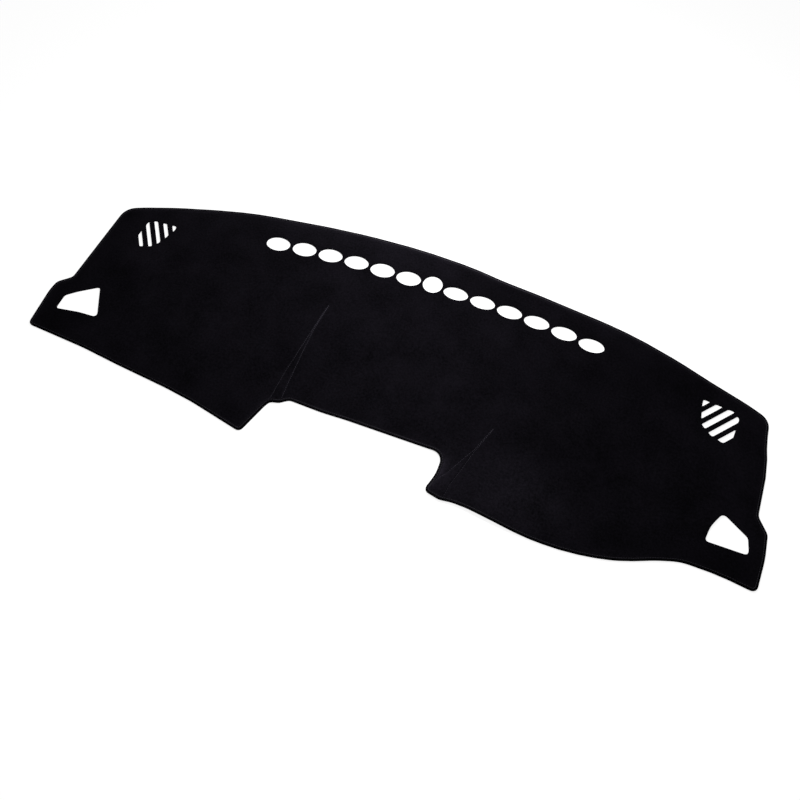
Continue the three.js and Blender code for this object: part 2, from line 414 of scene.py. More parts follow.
def ramp(values, low, high):
    """A smooth step from 0 at low to 1 at high."""
    share = np.clip((values - low) / (high - low), 0, 1)
    return share * share * (3 - 2 * share)


frame_relief = np.array([frame_height(x, y) for x, y in sheet_plan])
relief = smoothed(frame_relief, SMOOTHING_ROUNDS)
to_edge = distances(edge_tree, sheet_plan) + EDGE_INSET
hole_tree = tree_of(np.vstack(hole_loops))
to_hole = distances(hole_tree, sheet_plan)


def cloth_noise(level, size):
    return np.array([noise.noise(Vector((x, y, level)) / size) for x, y in sheet_plan])


uneven = cloth_noise(0, UNEVEN_SIZE)
uneven += FINER_SHARE * cloth_noise(0.3, UNEVEN_SIZE * FINER_SIZE)
lift = UNEVEN * (uneven + UNEVEN_MIDDLE) * ramp(to_edge, LIFT_FROM, LIFT_TO)
lift = np.maximum(lift, 0)
print("relief up to", round(relief.max() * 1000, 1), "mm, lift up to", round(lift.max() * 1000, 2), "mm")

# %% [markdown]
# The tucks come next. Between its two rows of stitches the folded cloth stands proud, more towards the foot.
# Each row of stitches pulls the pile down into a narrow groove. A seam also gathers the cloth beside it into
# soft, short puckers.

# %% Relief of the tucks
UNDER_TAPE = 0.6
TUCK_REACH = 40 * MM
FOLD_FROM, FOLD_TO = -0.6 * MM, 1.8 * MM
GROOVE = 1.1 * MM
GROOVE_WIDTH = 1.5 * MM
SEAM_HIGHLIGHT_WIDTH = 1.6 * MM
PUCKER_HEIGHT = 0.12 * MM
PUCKER_REACH = 9 * MM
PUCKER_WAVES = 140
PUCKER_CLEAR = 1.5 * MM


def line_measure(points, line):
    """Distance to a line of points, side of it, and how far along it the nearest point lies, from 0 to 1."""
    tree = tree_of(line)
    along = np.gradient(line, axis=0)
    along /= np.linalg.norm(along, axis=1)[:, None]
    found = [tree.find((x, y, 0)) for x, y in points]
    index = np.array([item[1] for item in found])
    away = points - line[index]
    side = along[index, 0] * away[:, 1] - along[index, 1] * away[:, 0]
    return np.array([item[2] for item in found]), side, index / (len(line) - 1)


raised = np.zeros(len(sheet_plan))
grooves = np.zeros(len(sheet_plan))
seam_highlight = np.zeros(len(sheet_plan))
for name, tuck in TUCKS.items():
    left_away, left_side, left_share = line_measure(sheet_plan, seam_lines[name, "left"])
    right_away, right_side, right_share = line_measure(sheet_plan, seam_lines[name, "right"])
    between = ramp(left_side, FOLD_FROM, FOLD_TO) * ramp(-right_side, FOLD_FROM, FOLD_TO)
    near = (left_away < TUCK_REACH) & (left_share > 0.0)
    raised += np.where(near, between * TUCK_RISE * ramp(left_share, 0.05, 0.9), 0)
    for away, share in ((left_away, left_share), (right_away, right_share)):
        pull = np.exp(-((away / GROOVE_WIDTH) ** 2)) * (1 - ramp(share, 0.985, 1.0) * 0.3)
        pull *= ramp(share, -0.001, 0.03)
        grooves = np.maximum(grooves, GROOVE * pull)
        # A painted highlight along each row of stitches.
        seam_highlight += tuck["seam_highlight"] * np.exp(-((away / SEAM_HIGHLIGHT_WIDTH) ** 2)) * ramp(share, -0.001, 0.04)
        pucker = np.exp(-((away / PUCKER_REACH) ** 2)) * np.sin(share * PUCKER_WAVES) * ramp(share, 0, 0.1)
        raised += PUCKER_HEIGHT * pucker * (away > PUCKER_CLEAR)
raised *= UNDER_TAPE + (1 - UNDER_TAPE) * ramp(to_edge, TAPE_WIDTH, 2 * TAPE_WIDTH)
print("tucks raised by up to", round(raised.max() * 1000, 2), "mm")
print("grooves up to", round(grooves.max() * 1000, 2), "mm deep")

# %% [markdown]
# On the driver's side the real mat has a soft crease where it was folded for the post, and two faint
# wrinkles. Each is a shallow valley along a short line, deepest in its middle, with painted shade along it.

# %% Creases
DEEPEST_CREASE = 0.9 * MM
CREASES = [
    {"line": [plan(391, -208), plan(386, -246), plan(374, -290)], "depth": DEEPEST_CREASE, "width": 2.6 * MM},
    {"line": [plan(500, -240), plan(508, -264)], "depth": 0.4 * MM, "width": 3 * MM},
    {"line": [plan(556, -222), plan(572, -250)], "depth": 0.4 * MM, "width": 3 * MM},
]
creased = np.zeros(len(sheet_plan))
crease_shade = np.zeros(len(sheet_plan))
for crease in CREASES:
    line = walk(crease["line"], SEAM_STEP)
    away, side, share = line_measure(sheet_plan, line)
    depth = np.sin(math.pi * share) * np.exp(-((away / crease["width"]) ** 2))
    creased += crease["depth"] * depth
    # Painted shade along each crease.
    crease_shade += depth * crease["depth"] / DEEPEST_CREASE
print("creases up to", round(creased.max() * 1000, 2), "mm deep")

# %% [markdown]
# Light and shade are painted into the velour's colour: patches of painted light and shade where the mat was
# lit more or less, a painted highlight along the rows of each tuck, painted shade in the creases, and a
# painted highlight on the velour beside the tape. One number for each point holds that, and the material
# reads it back by name.

# %% Painted light and shade of the velour
# Patches of painted light and shade: lighter where more light fell on the mat, darker where less did, as
# towards its ends.
PAINTED_LIGHT_AND_SHADE_PATCHES = [
    {"at": plan(-330, 70), "reach": (190 * MM, 50 * MM), "tone": 0.6},
    {"at": plan(-60, 85), "reach": (120 * MM, 50 * MM), "tone": 0.35},
    {"at": plan(135, 45), "reach": (70 * MM, 60 * MM), "tone": -0.3},
    {"at": plan(400, -110), "reach": (190 * MM, 170 * MM), "tone": -0.25},
    {"at": plan(335, -262), "reach": (45 * MM, 40 * MM), "tone": -0.25},
    {"at": plan(560, -20), "reach": (160 * MM, 60 * MM), "tone": -0.2},
    {"at": plan(640, -390), "reach": (120 * MM, 60 * MM), "tone": -0.25},
    {"at": plan(-690, -350), "reach": (60 * MM, 110 * MM), "tone": -0.3},
    {"at": plan(150, -395), "reach": (60 * MM, 55 * MM), "tone": 0.7},
    {"at": plan(153, -366), "reach": (9 * MM, 28 * MM), "tone": 0.9},
    {"at": plan(290, -380), "reach": (80 * MM, 60 * MM), "tone": 1.3},
    {"at": plan(-60, -300), "reach": (150 * MM, 70 * MM), "tone": 0.2},
    {"at": plan(-592, -135), "reach": (50 * MM, 40 * MM), "tone": 0.35},
    {"at": plan(-560, 0), "reach": (120 * MM, 40 * MM), "tone": 0.4},
    {"at": plan(360, -215), "reach": (26 * MM, 60 * MM), "tone": 0.25},
    {"at": plan(420, -260), "reach": (30 * MM, 60 * MM), "tone": -0.2},
]
SEAM_HIGHLIGHT_TONE = 0.9
CREASE_SHADE_TONE = -0.35
TAPE_EDGE_HIGHLIGHT_TONE = 0.6
TAPE_EDGE_HIGHLIGHT_TO = 12 * MM


def paint_light_and_shade():
    tone = np.ones(len(sheet_plan))
    for patch in PAINTED_LIGHT_AND_SHADE_PATCHES:
        away = (sheet_plan - np.array(patch["at"])) / np.array(patch["reach"])
        tone += patch["tone"] * np.exp(-(away ** 2).sum(axis=1))
    # A painted highlight on the velour beside the tape.
    tape_edge_highlight = 1 - ramp(to_edge, TAPE_WIDTH, TAPE_EDGE_HIGHLIGHT_TO)
    return tone * (1 + SEAM_HIGHLIGHT_TONE * seam_highlight + CREASE_SHADE_TONE * crease_shade + TAPE_EDGE_HIGHLIGHT_TONE * tape_edge_highlight)


painted_light_and_shade = paint_light_and_shade()
print("pile tone from", round(painted_light_and_shade.min(), 2), "to", round(painted_light_and_shade.max(), 2))

# %% [markdown]
# Along the tape the cloth is pressed thin by the sewing, and swells up again beside it. Round a cut-out
# the pile leans over the raw edge. All of that is added to the swells, and the cloth never gets thinner
# than its backing and foam can be pressed.

# %% Top and underside
PRESSED = 1.05 * MM
PRESSED_FROM, PRESSED_TO = 6.2 * MM, 10.5 * MM
CROWN = 0.35 * MM
CROWN_FROM, CROWN_TOP, CROWN_TO = 7 * MM, 11 * MM, 24 * MM
LEAN = 0.7 * MM
LEAN_REACH = 2.2 * MM
LIFT_BELOW = 0.6
THINNEST = 1.2 * MM

pressed = PRESSED * (1 - ramp(to_edge, PRESSED_FROM, PRESSED_TO))
crown = CROWN * ramp(to_edge, CROWN_FROM, CROWN_TOP) * (1 - ramp(to_edge, CROWN_TOP, CROWN_TO))
leaning = LEAN * (1 - ramp(to_hole, 0, LEAN_REACH)) ** 2
top_height = relief + lift + CLOTH + raised + crown - grooves - creased - pressed - leaning
bottom_height = relief + lift * LIFT_BELOW + pressed
top_height = np.maximum(top_height, bottom_height + THINNEST)
print("top of the sheet up to", round(top_height.max() * 1000, 1), "mm")

# %% [markdown]
# The sheet is one closed skin: the top, the underside, and a wall between them along every raw edge. Real
# cloth of this kind is cut through three bonded layers, so the wall has three bands, one for each finish. The
# painted light and shade of the pile is kept on the points of the top.

# %% The sheet
PILE_SHARE = 0.30
FOAM_SHARE = 0.80
SHARP_ANGLE = 50


def border_edges(triangles):
    """Edges that only one triangle uses, each in that triangle's direction."""
    forward = np.vstack([triangles[:, [0, 1]], triangles[:, [1, 2]], triangles[:, [2, 0]]])
    known = {tuple(pair) for pair in forward.tolist()}
    return [pair for pair in forward.tolist() if (pair[1], pair[0]) not in known]


def build_sheet():
    """Top, underside and a wall in three layers: pile, foam and backing."""
    count = len(sheet_plan)
    top = np.column_stack([sheet_plan, top_height])
    bottom = np.column_stack([sheet_plan, bottom_height])
    faces = [tuple(face) for face in sheet_triangles.tolist()]
    faces += [(c + count, b + count, a + count) for a, b, c in sheet_triangles.tolist()]
    layers = [0] * len(sheet_triangles) + [2] * len(sheet_triangles)
    border = border_edges(sheet_triangles)
    rim = sorted({index for pair in border for index in pair})
    row_of = {index: i for i, index in enumerate(rim)}
    upper = 2 * count
    lower = upper + len(rim)
    rim_top, rim_bottom = top[rim], bottom[rim]
    ring_upper = rim_top + (rim_bottom - rim_top) * PILE_SHARE
    ring_lower = rim_top + (rim_bottom - rim_top) * FOAM_SHARE
    for a, b in border:
        i, j = row_of[a], row_of[b]
        faces += [
            (b, a, upper + i, upper + j),
            (upper + j, upper + i, lower + i, lower + j),
            (lower + j, lower + i, a + count, b + count),
        ]
        layers += [0, 1, 2]
    mesh = bpy.data.meshes.new("velour_sheet")
    mesh.from_pydata(np.vstack([top, bottom, ring_upper, ring_lower]).tolist(), [], faces)
    mesh.polygons.foreach_set("material_index", layers)
    tones = np.concatenate([painted_light_and_shade, np.ones(count), painted_light_and_shade[rim], np.ones(len(rim))])
    mesh.attributes.new("painted_light_and_shade", "FLOAT", "POINT").data.foreach_set("value", tones)
    mesh.update()
    piece = bpy.data.objects.new("velour_sheet", mesh)
    bpy.context.scene.collection.objects.link(piece)
    return piece


velour_sheet = build_sheet()
velour_sheet.data.shade_smooth()
velour_sheet.data.set_sharp_from_angle(angle=math.radians(SHARP_ANGLE))
print("sheet:", len(velour_sheet.data.polygons), "faces")

# %% [markdown]
# The binding is a woven tape, folded over the edge of the cloth. Its section is drawn once, as
# distances in from the edge and heights over the underside, and is swept along the outline further on.
# It runs in from the lower cut edge, round the fold to the upper one, and back along the tape's inner
# face.

# %% Section of the tape
SECTION = [
    (6.5, 0.10), (5.6, 0.0), (4.7, 0.0), (3.4, 0.0), (1.8, 0.0), (0.75, 0.12), (0.2, 0.6), (0.0, 1.4),
    (0.0, 2.4), (0.2, 3.3), (0.8, 3.9), (1.8, 4.15), (3.4, 4.1), (4.7, 3.85), (5.6, 4.0), (6.4, 3.8),
    (6.5, 3.45), (5.6, 3.35), (4.7, 3.25), (3.4, 3.4), (1.8, 3.45), (0.9, 3.0), (0.65, 2.0), (0.9, 0.95),
    (1.8, 0.6), (3.4, 0.6), (4.7, 0.62), (5.6, 0.6), (6.5, 0.55),
]
SECTION = np.array(SECTION) * MM
print("section of the tape:", len(SECTION), "points,", round(np.ptp(SECTION[:, 0]) * 1000, 1), "mm wide")

# %% [markdown]
# The tape lies on the cloth, so it takes its height from the sheet's own points, at two distances from
# the edge, and leans with them. Where it crosses the foot of a tuck, it rises over the folded cloth.

# %% Seat of the tape
TAPE_LEANS_FROM = EDGE_INSET
TAPE_LEANS_TO = 7.5 * MM
NEARBY = 4
sheet_plan_tree = tree_of(sheet_plan)


def eased(values, rounds):
    """The values along the outline, averaged with their neighbours."""
    for _ in range(rounds):
        values = (np.roll(values, 1) + 2 * values + np.roll(values, -1)) / 4
    return values


def from_sheet(values, inset):
    """Values of the sheet's points, read along the outline at an inset from the nearest ones."""
    read = []
    for x, y in outline + outline_inward * inset:
        found = sheet_plan_tree.find_n((x, y, 0), NEARBY)
        weights = np.array([1 / (distance + 0.2 * MM) for place, index, distance in found])
        nearby = values[[index for place, index, distance in found]]
        read.append(float((weights * nearby).sum() / weights.sum()))
    return np.array(read)


outer_height = eased(from_sheet(relief, TAPE_LEANS_FROM), 12)
inner_height = eased(from_sheet(relief, TAPE_LEANS_TO), 12)
outline_rise = eased(from_sheet(raised, TAPE_LEANS_FROM), 6)


def tape_height(inset):
    """Height of the tape's underside along the outline. It leans with the cloth that it is sewn to."""
    share = (inset - TAPE_LEANS_FROM) / (TAPE_LEANS_TO - TAPE_LEANS_FROM)
    return np.maximum(outer_height + (inner_height - outer_height) * share, 0)


print("the tape rises over a tuck by up to", round(outline_rise.max() * 1000, 2), "mm")

# %% [markdown]
# Light and shade are painted into the tape's colour: painted shade round the fold, and on its flat a painted
# highlight that is strongest in the middle of the mat, nearest the light, and more along the windscreen than
# along the cabin. One tone for each point of the tape holds both, and the material reads it back by name.

# %% Painted light and shade of the tape
WINDSCREEN_SHINE = {"ends": 0.85, "rise": 1.8, "middle": -60 * MM, "reach": 420 * MM}
CABIN_SHINE = {"ends": 0.45, "rise": 0.9, "middle": 80 * MM, "reach": 330 * MM}
SIDE_BLEND = 0.3
FOLD_SHADE = 0.3
FOLD_SHADE_FROM, FOLD_SHADE_TO = 1.9 * MM, 4.4 * MM


def shine_along(shine):
    away = (outline[:, 0] - shine["middle"]) / shine["reach"]
    return shine["ends"] + shine["rise"] * np.exp(-(away ** 2))


def paint_tape_light_and_shade():
    windscreen_side = ramp(-outline_inward[:, 1], -SIDE_BLEND, SIDE_BLEND)
    along = windscreen_side * shine_along(WINDSCREEN_SHINE)
    along += (1 - windscreen_side) * shine_along(CABIN_SHINE)
    # Painted shade round the fold of the tape.
    across = FOLD_SHADE + (1 - FOLD_SHADE) * ramp(SECTION[:, 0], FOLD_SHADE_FROM, FOLD_SHADE_TO)
    return np.outer(along, across).ravel()


painted_tape_tone = paint_tape_light_and_shade()
print("tape tone from", round(painted_tape_tone.min(), 2), "to", round(painted_tape_tone.max(), 2))

# %% [markdown]
# Now the section is swept along the outline, with one station at each stitch and one between two
# stitches. The tape dips where the thread pulls it down, and its cut edges wander slightly, as sewn
# tape does. A UV map that runs along the tape in metres is made with it, for the weave.

# %% The tape
PULL_DOWN = 0.16 * MM
PULL_WIDTH = 1.1 * MM
PULL_BELOW = 0.3
WANDER = 0.35 * MM
WANDER_SIZE = 0.022
CUT_EDGE_FROM, CUT_EDGE_TO = 4.9 * MM, 6.4 * MM


def build_tape():
    stations, corners = len(outline), len(SECTION)
    between = np.arange(stations) % 2
    sway = np.array([noise.noise(Vector((x, y, 1.7)) / WANDER_SIZE) for x, y in outline]) * WANDER
    over = SECTION[:, 1] > CLOTH / 2
    rows = []
    for index, (inset, height) in enumerate(SECTION):
        cut_edge = ramp(np.array([inset]), CUT_EDGE_FROM, CUT_EDGE_TO)[0]
        dip = PULL_DOWN * math.exp(-(((inset - STITCH_INSET) / PULL_WIDTH) ** 2)) * (1 - between)
        place = outline + outline_inward * (inset + sway * cut_edge)[:, None]
        rise = height + (outline_rise - dip if over[index] else dip * PULL_BELOW)
        rows.append(np.column_stack([place, tape_height(inset) + rise]))
    points = np.stack(rows, axis=1).reshape(-1, 3)
    faces = []
    for i in range(stations):
        k = (i + 1) % stations
        for j in range(corners):
            m = (j + 1) % corners
            faces.append((i * corners + j, k * corners + j, k * corners + m, i * corners + m))
    mesh = bpy.data.meshes.new("binding_tape")
    mesh.from_pydata(points.tolist(), [], faces)
    around = np.concatenate([[0], np.cumsum(np.linalg.norm(np.diff(SECTION, axis=0), axis=1))])
    around = np.append(around, around[-1] + float(np.linalg.norm(SECTION[0] - SECTION[-1])))
    step = length_of(outline) / stations
    uv = mesh.uv_layers.new(name="weave")
    spots = []
    for i in range(stations):
        for j in range(corners):
            spots += [i * step, around[j], (i + 1) * step, around[j]]
            spots += [(i + 1) * step, around[j + 1], i * step, around[j + 1]]
    uv.data.foreach_set("uv", spots)
    # The tape's painted light and shade is kept on its points.
    mesh.attributes.new("tape_light_and_shade", "FLOAT", "POINT").data.foreach_set("value", painted_tape_tone)
    mesh.update()
    piece = bpy.data.objects.new("binding_tape", mesh)
    bpy.context.scene.collection.objects.link(piece)
    return piece


def face_outward(piece):
    mesh = bmesh.new()
    mesh.from_mesh(piece.data)
    bmesh.ops.recalc_face_normals(mesh, faces=mesh.faces)
    if mesh.calc_volume(signed=True) < 0:
        bmesh.ops.reverse_faces(mesh, faces=mesh.faces)
    mesh.to_mesh(piece.data)
    mesh.free()


binding_tape = build_tape()
face_outward(binding_tape)
binding_tape.data.shade_smooth()
print("tape:", len(binding_tape.data.polygons), "faces")

# %% [markdown]
# The stitches are small arches of thread. One arch is a short bent tube with six sides, thinner towards
# its ends. Each end dives into the cloth, so the thread looks sewn and not laid on.

# %% One stitch
ARCH_STEPS = 6
ARCH_SIDES = 6
STITCH_LENGTH = STITCH_PITCH * 0.86
STITCH_RISE = 0.22 * MM
STITCH_DIVE = 0.5 * MM


def arch(length, height, dive):
    """Points and faces of one stitch along X, from dive below the surface, over the top and down again."""
    shares = np.linspace(-1, 1, ARCH_STEPS + 1)
    rings = []
    for share in shares:
        rise = height * (1 - share ** 2) - dive * abs(share) ** 4
        width = THREAD / 2 * (1 - 0.25 * abs(share) ** 3)
        for side in range(ARCH_SIDES):
            angle = 2 * math.pi * side / ARCH_SIDES
            rings.append((share * length / 2, width * math.cos(angle), rise + width * math.sin(angle)))
    faces = []
    for ring in range(ARCH_STEPS):
        for side in range(ARCH_SIDES):
            a = ring * ARCH_SIDES + side
            b = ring * ARCH_SIDES + (side + 1) % ARCH_SIDES
            faces.append((a, b, b + ARCH_SIDES, a + ARCH_SIDES))
    last = ARCH_STEPS * ARCH_SIDES
    faces.append(tuple(range(ARCH_SIDES))[::-1])
    faces.append(tuple(last + side for side in range(ARCH_SIDES)))
    return np.array(rings), faces


stitch_shape, stitch_faces = arch(STITCH_LENGTH, STITCH_RISE, STITCH_DIVE)
print("one stitch:", len(stitch_faces), "faces,", round(STITCH_LENGTH * 1000, 1), "mm long")

# %% [markdown]
# The stitch is modelled once and copied to every place by turning and moving its points. Along the tape
# there is a row above, which the eye sees, and a row below, because one thread holds both halves of the
# tape.

# %% Stitches along the edge
TAPE_TOP = 3.85 * MM
TAPE_UNDERSIDE = 0.05 * MM


def sew(name, stitches):
    """One piece of many stitches, each given by its middle, its direction and its up direction."""
    points, faces = [], []
    for middle, along, up in stitches:
        side = up.cross(along).normalized()
        turn = np.array([along, side, up])
        first = len(points) * len(stitch_shape)
        faces += [tuple(corner + first for corner in face) for face in stitch_faces]
        points.append(stitch_shape @ turn + np.array(middle))
    mesh = bpy.data.meshes.new(name)
    mesh.from_pydata(np.vstack(points).tolist(), [], faces)
    mesh.update()
    piece = bpy.data.objects.new(name, mesh)
    bpy.context.scene.collection.objects.link(piece)
    face_outward(piece)
    piece.data.shade_smooth()
    return piece


def tape_stitches(over):
    section_height = TAPE_TOP if over else TAPE_UNDERSIDE
    seat = tape_height(STITCH_INSET)
    ring = outline + outline_inward * STITCH_INSET
    row = []
    for i in range(1, len(ring), 2):
        before, after = ring[i - 1], ring[(i + 1) % len(ring)]
        rise = seat[i] + section_height + (outline_rise[i] if over else 0)
        along = Vector((*(after - before), 0)).normalized()
        row.append((Vector((*ring[i], rise)), along, Vector((0, 0, 1 if over else -1))))
    return row


edge_stitches = sew("edge_stitches", tape_stitches(True))
edge_stitches_below = sew("edge_stitches_below", tape_stitches(False))
print("edge stitches:", len(edge_stitches.data.polygons), "faces a row")

# %% [markdown]
# The rows on the tucks lie on the fine sheet itself, so each stitch asks the finished mesh for its
# height and its slope there. A ray that is sent straight down finds both.

# %% Stitches on the tucks
RAY_HEIGHT = 0.2
SEAM_SINK = 0.02 * MM
sheet_tree = BVHTree.FromPolygons(
    [tuple(vert.co) for vert in velour_sheet.data.vertices],
    [tuple(face.vertices) for face in velour_sheet.data.polygons],
)


def sheet_top(x, y):
    place, normal, index, distance = sheet_tree.ray_cast((x, y, RAY_HEIGHT), (0, 0, -1))
    return (place, normal) if place else (Vector((x, y, CLOTH)), Vector((0, 0, 1)))


def tuck_stitches():
    row = []
    for line in seam_lines.values():
        holes = walk(line, STITCH_PITCH)
        for before, after in zip(holes[:-1], holes[1:]):
            middle, up = sheet_top(*((before + after) / 2))
            start, end = sheet_top(*before)[0], sheet_top(*after)[0]
            along = (end - start).normalized()
            up = (up - along * up.dot(along)).normalized()
            row.append((middle - up * SEAM_SINK, along, up))
    return row


seam_stitches = sew("tuck_stitches", tuck_stitches())
print("tuck stitches:", len(seam_stitches.data.polygons), "faces")

# %% [markdown]
# Materials. Velour, tape and backing all have a fine grain of fibres, so the grain is one node group
# that is placed in each with its own values. It gives a tone that changes from tuft to tuft and a
# normal that the light catches. Velour drinks nearly all light: its colour is almost black with a
# breath of violet, and what little it gives back comes from the tips of the pile.

# %% Grain, a shared group


def fibre_group():
    group = bpy.data.node_groups.new("fibre_grain", "ShaderNodeTree")
    face = group.interface
    face.new_socket("Place", in_out="INPUT", socket_type="NodeSocketVector")
    face.new_socket("Tuft", in_out="INPUT", socket_type="NodeSocketFloat")
    face.new_socket("Patch", in_out="INPUT", socket_type="NodeSocketFloat")
    face.new_socket("Depth", in_out="INPUT", socket_type="NodeSocketFloat")
    face.new_socket("Tone", in_out="OUTPUT", socket_type="NodeSocketFloat")
    face.new_socket("Normal", in_out="OUTPUT", socket_type="NodeSocketVector")
    nodes, links = group.nodes, group.links
    given = nodes.new("NodeGroupInput")
    given_out = nodes.new("NodeGroupOutput")
    tuft = nodes.new("ShaderNodeTexNoise")
    tuft.inputs["Detail"].default_value = 5
    tuft.inputs["Roughness"].default_value = 0.72
    patch = nodes.new("ShaderNodeTexNoise")
    patch.inputs["Detail"].default_value = 4
    patch.inputs["Roughness"].default_value = 0.55
    links.new(given.outputs["Place"], tuft.inputs["Vector"])
    links.new(given.outputs["Tuft"], tuft.inputs["Scale"])
    links.new(given.outputs["Place"], patch.inputs["Vector"])
    links.new(given.outputs["Patch"], patch.inputs["Scale"])
    tone = nodes.new("ShaderNodeMix")
    tone.data_type = "FLOAT"
    tone.inputs["Factor"].default_value = 0.38
    links.new(tuft.outputs["Fac"], tone.inputs["A"])
    links.new(patch.outputs["Fac"], tone.inputs["B"])
    bump = nodes.new("ShaderNodeBump")
    bump.inputs["Strength"].default_value = 0.8
    links.new(given.outputs["Depth"], bump.inputs["Distance"])
    links.new(tuft.outputs["Fac"], bump.inputs["Height"])
    links.new(tone.outputs["Result"], given_out.inputs["Tone"])
    links.new(bump.outputs["Normal"], given_out.inputs["Normal"])
    return group


FIBRES = fibre_group()


def srgb(red, green, blue):
    """A colour written as 0 to 255, as the linear values that a shader takes."""
    shares = [value / 255 for value in (red, green, blue)]
    return (*[s / 12.92 if s <= 0.04045 else ((s + 0.055) / 1.055) ** 2.4 for s in shares], 1)


def fibre_material(name, dark, light, tuft, patch, depth, low=0.32, high=0.68):
    """A finish of two colours mixed by the shared grain, given with its shader and its grain."""
    material = bpy.data.materials.new(name)
    material.use_nodes = True
    nodes, links = material.node_tree.nodes, material.node_tree.links
    shader = nodes["Principled BSDF"]
    shader.inputs["Roughness"].default_value = 1.0
    shader.inputs["Specular IOR Level"].default_value = 0.04
    place = nodes.new("ShaderNodeTexCoord")
    grain = nodes.new("ShaderNodeGroup")
    grain.node_tree = FIBRES
    grain.inputs["Tuft"].default_value = tuft
    grain.inputs["Patch"].default_value = patch
    grain.inputs["Depth"].default_value = depth
    links.new(place.outputs["Object"], grain.inputs["Place"])
    colours = nodes.new("ShaderNodeValToRGB")
    colours.color_ramp.elements[0].position = low
    colours.color_ramp.elements[0].color = dark
    colours.color_ramp.elements[1].position = high
    colours.color_ramp.elements[1].color = light
    links.new(grain.outputs["Tone"], colours.inputs["Fac"])
    links.new(colours.outputs["Color"], shader.inputs["Base Color"])
    links.new(grain.outputs["Normal"], shader.inputs["Normal"])
    return material, shader, grain


# %% [markdown]
# Velour gives back so little light that its highlight is nearly off, and a trace of sheen stands for the tips
# of the pile. Its tufts are about 4 mm across, and softer patches of tone lie under them. The painted light
# and shade that the mesh holds at each point is multiplied in.

# %% Velour
velour, velour_shader, _ = fibre_material(
    "velour", srgb(11, 10, 13), srgb(29, 26.5, 33), tuft=240, patch=13, depth=1.2 * MM, low=0.36, high=0.66)
velour_shader.inputs["Specular IOR Level"].default_value = 0.01
velour_shader.inputs["Sheen Weight"].default_value = 0.012
velour_shader.inputs["Sheen Roughness"].default_value = 0.5
velour_shader.inputs["Sheen Tint"].default_value = (0.86, 0.8, 1.0, 1)


def shade_by(name, material, shader):
    """Multiply the colour of a finish by a tone that its mesh holds at each point."""
    nodes, links = material.node_tree.nodes, material.node_tree.links
    held = nodes.new("ShaderNodeAttribute")
    held.attribute_name = name
    shaded = nodes.new("ShaderNodeMix")
    shaded.data_type = "RGBA"
    shaded.blend_type = "MULTIPLY"
    shaded.inputs["Factor"].default_value = 1
    links.new(nodes["Color Ramp"].outputs["Color"], shaded.inputs["A"])
    links.new(held.outputs["Fac"], shaded.inputs["B"])
    links.new(shaded.outputs["Result"], shader.inputs["Base Color"])


# The velour's colour is multiplied by the painted light and shade that the sheet holds at each point.
shade_by("painted_light_and_shade", velour, velour_shader)

# %% [markdown]
# The foam shows only as a thin line in the cut edges. The underside isn't seen in the photograph: such
# mats have a plain backing with rows of small rubber dots that keep it from sliding, so the dots are a
# pattern on the backing, in its colour and as a bump.

# %% Foam and backing
foam, _, _ = fibre_material(
    "cut_foam", srgb(16, 16, 18), srgb(30, 30, 33), tuft=1500, patch=200, depth=0.25 * MM)

backing, backing_shader, backing_grain = fibre_material(
    "backing", srgb(22, 22, 24), srgb(34, 34, 37), tuft=700, patch=60, depth=0.2 * MM)


def add_grip_dots(material, shader, grain, pitch, radius):
    """Rows of small rubber dots on the backing, in its colour and as a bump."""
    nodes, links = material.node_tree.nodes, material.node_tree.links
    place = nodes["Texture Coordinate"]
    turned = nodes.new("ShaderNodeMapping")
    turned.inputs["Rotation"].default_value[2] = math.radians(45)
    turned.inputs["Scale"].default_value = (1 / pitch, 1 / pitch, 0)
    cell = nodes.new("ShaderNodeVectorMath")
    cell.operation = "FRACTION"
    centred = nodes.new("ShaderNodeVectorMath")
    centred.operation = "SUBTRACT"
    centred.inputs[1].default_value = (0.5, 0.5, 0)
    away = nodes.new("ShaderNodeVectorMath")
    away.operation = "LENGTH"
    dot = nodes.new("ShaderNodeMapRange")
    dot.interpolation_type = "SMOOTHSTEP"
    dot.inputs["From Min"].default_value = radius / pitch * 1.15
    dot.inputs["From Max"].default_value = radius / pitch * 0.75
    links.new(place.outputs["Object"], turned.inputs["Vector"])
    links.new(turned.outputs["Vector"], cell.inputs[0])
    links.new(cell.outputs["Vector"], centred.inputs[0])
    links.new(centred.outputs["Vector"], away.inputs[0])
    links.new(away.outputs["Value"], dot.inputs["Value"])
    colour = nodes.new("ShaderNodeMix")
    colour.data_type = "RGBA"
    colour.inputs["B"].default_value = srgb(46, 46, 49)
    ramp_node = nodes["Color Ramp"]
    links.new(dot.outputs["Result"], colour.inputs["Factor"])
    links.new(ramp_node.outputs["Color"], colour.inputs["A"])
    links.new(colour.outputs["Result"], shader.inputs["Base Color"])
    bump = nodes.new("ShaderNodeBump")
    bump.inputs["Distance"].default_value = 0.5 * MM
    links.new(dot.outputs["Result"], bump.inputs["Height"])
    links.new(grain.outputs["Normal"], bump.inputs["Normal"])
    links.new(bump.outputs["Normal"], shader.inputs["Normal"])


add_grip_dots(backing, backing_shader, backing_grain, pitch=6 * MM, radius=1.3 * MM)
for layer in (velour, foam, backing):
    velour_sheet.data.materials.append(layer)

# %% [markdown]
# The tape is woven in fine cross ribs. Its own UV map runs along the tape in metres, so the ribs follow every
# bend of the edge. The thread is smooth polyester, a little lighter than the cloth.

# %% Tape and thread
RIB = 0.55 * MM

tape, tape_shader, tape_grain = fibre_material(
    "binding_tape", srgb(21, 20, 23), srgb(40, 38, 43), tuft=1600, patch=40, depth=0.1 * MM)
tape_shader.inputs["Specular IOR Level"].default_value = 0.0
tape_shader.inputs["Roughness"].default_value = 0.85


